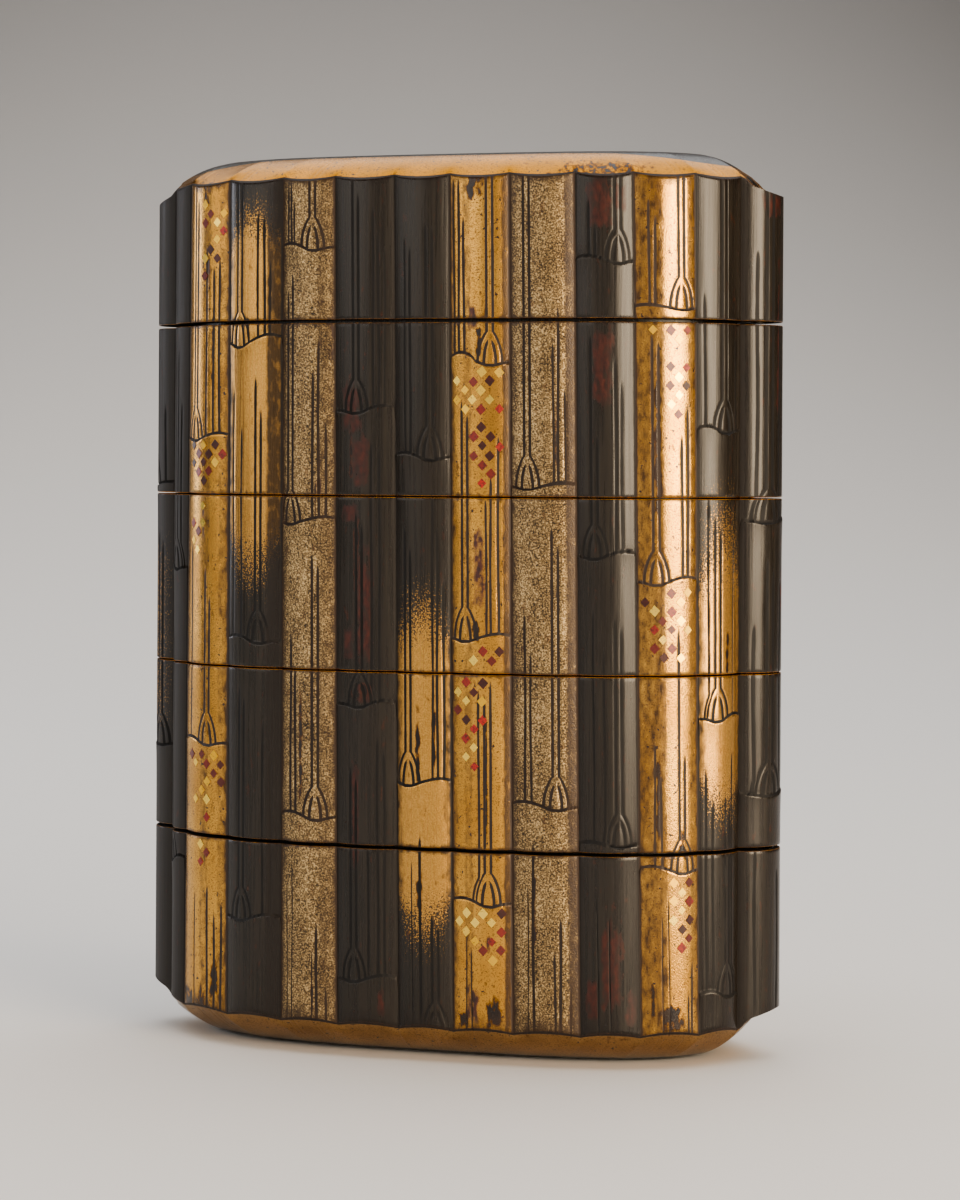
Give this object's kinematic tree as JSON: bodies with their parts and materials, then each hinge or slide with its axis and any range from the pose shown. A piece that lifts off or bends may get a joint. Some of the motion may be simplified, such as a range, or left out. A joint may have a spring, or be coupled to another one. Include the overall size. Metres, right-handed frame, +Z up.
{
  "type": "inro case",
  "caption": "Stacking lacquered case of fluted sections shaped as bamboo stems, with cord channels at both ends and a domed lid.",
  "frame": {"origin": "middle of the underside, on the surface it stands on", "axes": "+Z up through the stack, +X to the right along the width, front facing -Y"},
  "size_m": [0.0606, 0.0252, 0.0823],
  "materials": {
    "maki_e_lacquer": "satin brown-black lacquer over a thin wood core, with gold maki-e, sprinkled gold and worn patches",
    "gold_lacquer": "burnished gold lacquer on the rounded shoulders and rims, over the same core",
    "foil_inlay": "cut lozenges of bright gold foil set in the lacquer",
    "red_inlay": "cut lozenges of red-brown lacquered foil set in the lacquer"
  },
  "bodies": {
    "root": {"base_case": "maki_e_lacquer", "lower_case": "maki_e_lacquer", "middle_case": "maki_e_lacquer", "upper_case": "maki_e_lacquer", "lid": "maki_e_lacquer"}
  },
  "joints": []
}
